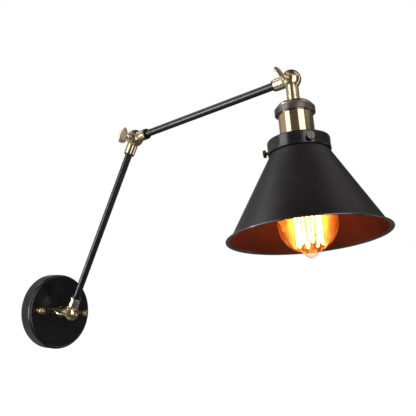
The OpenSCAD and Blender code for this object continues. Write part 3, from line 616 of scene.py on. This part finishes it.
def add_turned(mesh_data, outline, steps, zone=lambda place: 0):
    """Solid of revolution round z from a closed outline of (radius, height) in mm."""
    turns = [2 * math.pi * i / steps for i in range(steps)]
    rings = []
    for radius, height in outline:
        if radius < ON_AXIS:
            rings.append([mesh_data.verts.new((0, 0, height * MM))] * steps)
            continue
        rings.append([mesh_data.verts.new(on_ring(radius, turn, height)) for turn in turns])
    for k, ring in enumerate(rings):
        after = (k + 1) % len(rings)
        beyond = rings[after]
        if ring[0] is ring[1] and beyond[0] is beyond[1]:
            continue
        index = zone((Vector(outline[k]) + Vector(outline[after])) / 2)
        join_rings(mesh_data, ring, beyond, index)


# Keys: a turned screw, flange, boss and neck, and a cast leaf with a soft raised rim

KEY_SCREW_D = 5
KEY_TAIL = 11.8
KEY_TAIL_EASE = 0.5
KEY_BOSS_START = 9.9
KEY_FLANGE_D = 9.2
KEY_FLANGE_T = 0.9
KEY_WAIST = 0.4
KEY_BOSS_D = 7.4
KEY_BOSS_REACH = 13
KEY_BOSS_EASE = 0.6
KEY_NECK_D = 5.6
KEY_NECK_STEP = 0.1
KEY_NECK_TAPER = 0.9
KEY_NECK_END_TAPER = 1.5
KEY_ROUND = 0.25
KEY_STEPS = 64
LEAF_LENGTH = 21.5
LEAF_WIDTH = 13.2
LEAF_THICKNESS = 2.6
LEAF_DISH = 0.4
LEAF_NECK = 2
LEAF_OVERLAP = 1.5
LEAF_CENTRE = KEY_BOSS_REACH + LEAF_NECK + LEAF_WIDTH / 2 - LEAF_OVERLAP
# The leaf's side arcs would meet this share of its length past its round end, blended this sharply
LEAF_PAST_SHARE = 0.3
LEAF_BLEND = 14
LEAF_STEPS = 96
# Each key's joint, and its turn about the joint's axis in degrees
KEYS = [("base_key", BASE, -70), ("elbow_key", ELBOW, 16), ("head_key", HEAD, 147)]


def leaf_radius(turn):
    """Distance from the leaf's middle to its edge: two side arcs and a round end, blended."""
    longer = LEAF_PAST_SHARE * LEAF_LENGTH
    length = LEAF_LENGTH + longer
    side = (length ** 2 + LEAF_WIDTH ** 2) / (4 * LEAF_WIDTH)
    across = side - LEAF_WIDTH / 2
    way = Vector((math.cos(turn), math.sin(turn)))
    reaches = [LEAF_LENGTH / 2]
    for centre in (Vector((across, -longer / 2)), Vector((-across, -longer / 2))):
        along = way.dot(centre)
        reaches.append(along + math.sqrt(side ** 2 - centre.length_squared + along ** 2))
    return sum(value ** -LEAF_BLEND for value in reaches) ** (-1 / LEAF_BLEND)


def leaf_section():
    """Both faces of the leaf as (share of its radius, height in mm): a dished web in a round rim."""
    half = LEAF_THICKNESS / 2
    web = half - LEAF_DISH
    dish = [(0.0, web), (0.35, web), (0.62, web), (0.72, web + 0.1 * LEAF_DISH),
            (0.79, web + 0.7 * LEAF_DISH)]
    rim = [(0.85, half), (0.91, 0.97 * half), (0.96, 0.8 * half), (0.99, 0.45 * half)]
    upper = dish + rim
    return upper + [(1.0, 0.0)] + [(share, -height) for share, height in reversed(upper)]


def add_leaf(mesh_data, place):
    """Leaf in its own plane, pointed at +y."""
    turns = [2 * math.pi * i / LEAF_STEPS for i in range(LEAF_STEPS)]
    rings = []
    for share, height in leaf_section():
        if share == 0:
            rings.append([mesh_data.verts.new(place @ Vector((0, 0, height * MM)))] * LEAF_STEPS)
            continue
        ring = []
        for turn in turns:
            radius = leaf_radius(turn) * share * MM
            ring.append(mesh_data.verts.new(
                place @ Vector((radius * math.cos(turn), radius * math.sin(turn), height * MM))))
        rings.append(ring)
    for ring, beyond in zip(rings, rings[1:]):
        join_rings(mesh_data, ring, beyond)


def key_outline():
    """Half outline of a key's turned part, from its tail to the neck's end in the leaf."""
    screw_r = KEY_SCREW_D / 2
    flange_r = KEY_FLANGE_D / 2
    boss_r = KEY_BOSS_D / 2
    neck_r = KEY_NECK_D / 2
    flange_end = KEY_BOSS_START + KEY_FLANGE_T
    leaf_edge = KEY_BOSS_REACH + LEAF_NECK
    neck_end = KEY_BOSS_REACH + 2 * LEAF_NECK
    screw = [(0, -KEY_TAIL), (screw_r - KEY_TAIL_EASE, -KEY_TAIL), (screw_r, -KEY_TAIL + KEY_TAIL_EASE),
             (screw_r, KEY_BOSS_START)]
    flange = [(flange_r, KEY_BOSS_START), (flange_r, flange_end)]
    boss = [(boss_r - KEY_WAIST, flange_end), (boss_r - KEY_WAIST, flange_end + KEY_WAIST),
            (boss_r, flange_end + 2 * KEY_WAIST), (boss_r, KEY_BOSS_REACH - KEY_BOSS_EASE),
            (boss_r - KEY_BOSS_EASE, KEY_BOSS_REACH)]
    neck = [(neck_r, KEY_BOSS_REACH + KEY_NECK_STEP), (neck_r - KEY_NECK_TAPER, leaf_edge),
            (neck_r - KEY_NECK_END_TAPER, neck_end), (0, neck_end)]
    return soften(screw + flange + boss + neck, KEY_ROUND)


def key(name, point, turn):
    """One key, drawn along the joint's axis towards the near side."""
    data = bmesh.new()
    add_turned(data, key_outline(), KEY_STEPS)
    leaf = (Matrix.Translation((0, 0, LEAF_CENTRE * MM)) @ Matrix.Rotation(math.radians(90), 4, "X")
            @ Matrix.Rotation(math.radians(-90), 4, "Z"))
    add_leaf(data, leaf)
    place = (Matrix.Translation(point) @ Matrix.Rotation(math.radians(turn), 4, "X")
             @ Matrix.Rotation(math.radians(-90), 4, "Y"))
    obj = new_piece("visual_" + name, data, place, name, [KEY_BRASS])
    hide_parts(name)


for name, point, turn in KEYS:
    key(name, point, turn)

# Arms: plain tubes

TUBE_WALL = 1
TUBE_EASE = 0.2
TUBE_STEPS = 96


def arm_tube(name, place, body):
    """Tube of an arm with eased ends."""
    start, end, tube_r = reach(name, place)
    bore_r = tube_r - TUBE_WALL
    corners = [(bore_r, start), (tube_r, start), (tube_r, end), (bore_r, end)]
    data = bmesh.new()
    add_turned(data, soften(corners, TUBE_EASE), TUBE_STEPS)
    obj = new_piece("visual_" + name, data, place, body, [ARM_BLACK])
    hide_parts(name)


arm_tube("lower_arm_tube", LOWER_LINK, "lower_arm")
arm_tube("upper_arm_tube", UPPER_LINK, "upper_arm")

# Shade: drawn cone with a beaded neck, a flat brim and a rolled hem

SHADE_WALL = 0.9
GALLERY_PAST_NECK = 2.4
NECK_BEAD = 0.6
BEAD_LENGTH = 1.6
BEAD_END = 2.2
SHOULDER_GAP = 0.5
BRIM_W = 4.4
BRIM_DROP = 1
HEM_R = 0.9
HEM_HALF_ARC = 110
HEM_STEPS = 14
# How far the hem's paint reaches up and in past the brim, and the inside's into the wall
HEM_PAINT_UP = 0.6
HEM_PAINT_IN = 0.4
INSIDE_PAINT_SHARE = 0.3
SHADE_ROUND = 0.8
SHADE_STEPS = 192


def shade():
    """Turned shade with its outside, hem and inside painted apart."""
    start, end, rim_r = reach("shade", HEAD_LINK)
    _, gallery_end, gallery_r = reach("gallery", HEAD_LINK)
    neck_r = gallery_r - GALLERY_PAST_NECK
    cone_end = end - BRIM_DROP - 2 * HEM_R + SHADE_WALL
    shoulder = gallery_end + SHOULDER_GAP
    corner_r = rim_r - BRIM_W
    cone_w = corner_r - neck_r
    cone_h = cone_end - shoulder
    bead_r = neck_r + NECK_BEAD
    outside = [(neck_r - SHADE_WALL, start), (bead_r, start), (bead_r, start + BEAD_LENGTH),
               (neck_r, start + BEAD_END), (neck_r, shoulder), (corner_r, cone_end)]
    hem = arc((rim_r - HEM_R, end - HEM_R), HEM_R, -HEM_HALF_ARC, HEM_HALF_ARC, HEM_STEPS)
    inside = [(corner_r, cone_end + SHADE_WALL), (neck_r - SHADE_WALL, shoulder + SHADE_WALL)]

    def zone(point):
        """Paint of a face: 0 is the outside, 1 the hem with its brim and 2 the inside."""
        if point.y > cone_end - HEM_PAINT_UP and point.x > corner_r - HEM_PAINT_IN:
            return 1
        past_cone = (point.x - neck_r) * cone_h - (point.y - shoulder) * cone_w
        return 2 if past_cone < -INSIDE_PAINT_SHARE * SHADE_WALL * cone_h else 0

    data = bmesh.new()
    add_turned(data, soften(outside + hem + inside, SHADE_ROUND), SHADE_STEPS, zone)
    obj = new_piece("visual_shade", data, HEAD_LINK, "head", [SHADE_BLACK, HEM_BLACK, INNER_BLACK])
    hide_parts("shade")


shade()

# Bulb: blown glass with a sealed tip, filament strands, their wires and the light they give

GLASS_WALL = 0.8
GLASS_STEPS = 128
CAP_PAST_NECK = 0.65
NECK_IN_CAP = 4
# How far the glass runs straight past its cap, and the pulls of the neck's curve from each end
NECK_STRAIGHT = 2
NECK_PULL = 26
BULB_PULL = 40
PIP_H = 6
PIP_R = 4.5
# Degrees from the widest ring to where the tip starts, and what the arc leaves free at each end
PIP_START = 68
ARC_MARGIN = 3
STRANDS = 16
STRAND_R = 0.6
# Bend of the strand as (share of its half width, way back into the cage)
BEND_HALF_WIDTH = 0.9
BEND = ((-1, 1.2), (-0.6, 0.35), (0, 0), (0.6, 0.35), (1, 1.2))
SUPPORT_R = 0.25
SUPPORT_BOW = 0.6
SUPPORT_REACH = 0.96
# Feet of the support wires: in the stem's end, and on the stem before the cage's near end
FAR_FOOT_R = 1.3
FAR_FOOT_IN_STEM = 2
NEAR_FOOT_R = 2.8
NEAR_FOOT_BEFORE = 9
LIGHT_POWER = 2.2
LIGHT_COLOUR = (1.0, 0.2, 0.03)
LIGHT_R = 11


def smooth_curve(a, b, c, d, steps):
    """Points along a smooth curve from a to d, pulled towards b and c."""
    a, b, c, d = Vector(a), Vector(b), Vector(c), Vector(d)
    shares = [i / steps for i in range(1, steps + 1)]
    return [a * (1 - t) ** 3 + 3 * b * t * (1 - t) ** 2 + 3 * c * t ** 2 * (1 - t) + d * t ** 3
            for t in shares]


def glass_outline(inset):
    """Half outline of the bulb from its neck to its tip, a given depth under the outer face."""
    start, tip, bulb_r = reach("bulb_glass", HEAD_LINK)
    mouth = start + NECK_IN_CAP
    widest = tip - PIP_H - bulb_r
    neck_r = reach("bulb_cap", HEAD_LINK)[2] - CAP_PAST_NECK - inset
    r = bulb_r - inset
    pip_angle = math.radians(PIP_START)
    foot = Vector((r * math.cos(pip_angle), widest + r * math.sin(pip_angle)))
    run = foot.x - PIP_R
    points = [Vector((neck_r, start))]
    points += smooth_curve((neck_r, mouth + NECK_STRAIGHT), (neck_r, mouth + NECK_PULL),
                           (r, widest - BULB_PULL), (r, widest), steps=30)
    points += arc((0, widest), r, ARC_MARGIN, PIP_START - ARC_MARGIN, steps=22)
    points += smooth_curve(foot, (PIP_R + run / 2, foot.y + run / 2 / math.tan(pip_angle)),
                           (PIP_R, tip - inset), (0, tip - inset), steps=16)
    return points


def bulb_glass():
    """Turned glass with an outer and an inner face."""
    data = bmesh.new()
    add_turned(data, glass_outline(0) + list(reversed(glass_outline(GLASS_WALL))), GLASS_STEPS)
    glass = new_piece("visual_bulb_glass", data, HEAD_LINK, "head", [GLASS])
    glass.visible_shadow = False
    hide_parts("bulb_glass")


def wire(name, paths, radius, body, material):
    """Round wires along paths of points in the head's frame, in mm."""
    data = bpy.data.curves.new(name, "CURVE")
    data.dimensions = "3D"
    data.bevel_depth = radius * MM
    data.bevel_resolution = 4
    data.use_fill_caps = True
    for path in paths:
        spline = data.splines.new("POLY")
        spline.points.add(len(path) - 1)
        for point, place in zip(spline.points, path):
            point.co = (*(place * MM), 1)
        spline.use_smooth = True
    data.materials.append(material)
    obj = bpy.data.objects.new(name, data)
    scene.collection.objects.link(obj)
    obj.matrix_world = HEAD_LINK
    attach(obj, body)
    return obj


def head_point(radius, angle, height):
    """Point at a radius and an angle round the head's axis and a height along it, in mm."""
    return Vector((radius * math.cos(angle), radius * math.sin(angle), height))


def cage_corners():
    """Where the strand bends, far and near in turn: angle, height and the way back into the cage."""
    near, far, _ = reach("bulb_filament", HEAD_LINK)
    for i in range(STRANDS):
        angle = 2 * math.pi * i / STRANDS
        yield (angle, far, -1) if i % 2 == 0 else (angle, near, 1)


def bulb_filament():
    """Strand that runs up and down between the ends of the cage."""
    cage_r = reach("bulb_filament", HEAD_LINK)[2]
    half_turn = BEND_HALF_WIDTH / cage_r
    strand = []
    for angle, height, inward in cage_corners():
        for share, drop in BEND:
            depth = inward * (STRAND_R + drop)
            strand.append(head_point(cage_r, angle + share * half_turn, height + depth))
    filament = wire("visual_filament", [strand], STRAND_R, "head", FILAMENT)
    filament.visible_diffuse = False
    filament.visible_glossy = False
    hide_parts("bulb_filament")


def bulb_supports():
    """Wires from the stem that hold each bend of the strand."""
    near, _, cage_r = reach("bulb_filament", HEAD_LINK)
    stem_end = reach("bulb_stem", HEAD_LINK)[1]
    holders = []
    for angle, height, inward in cage_corners():
        foot = head_point(NEAR_FOOT_R, angle, near - NEAR_FOOT_BEFORE)
        if inward < 0:
            foot = head_point(FAR_FOOT_R, angle, stem_end - FAR_FOOT_IN_STEM)
        corner = head_point(cage_r, angle, height)
        halfway = foot.lerp(corner, 0.5) + Vector((0, 0, SUPPORT_BOW))
        holders.append([foot, halfway, foot.lerp(corner, SUPPORT_REACH)])
    wires = wire("visual_supports", holders, SUPPORT_R, "head", STEEL)
    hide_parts("bulb_supports")


def bulb_light():
    """Light that the strands give, from the middle of their cage."""
    near, far, _ = reach("bulb_filament", HEAD_LINK)
    data = bpy.data.lights.new("bulb_light", "POINT")
    data.energy = LIGHT_POWER
    data.color = LIGHT_COLOUR
    data.shadow_soft_size = LIGHT_R * MM
    light = bpy.data.objects.new("bulb_light", data)
    scene.collection.objects.link(light)
    light.location = HEAD_LINK @ Vector((0, 0, (near + far) / 2 * MM))
    light.visible_glossy = False
    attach(light, "head")


bulb_glass()
bulb_filament()
bulb_supports()
bulb_light()
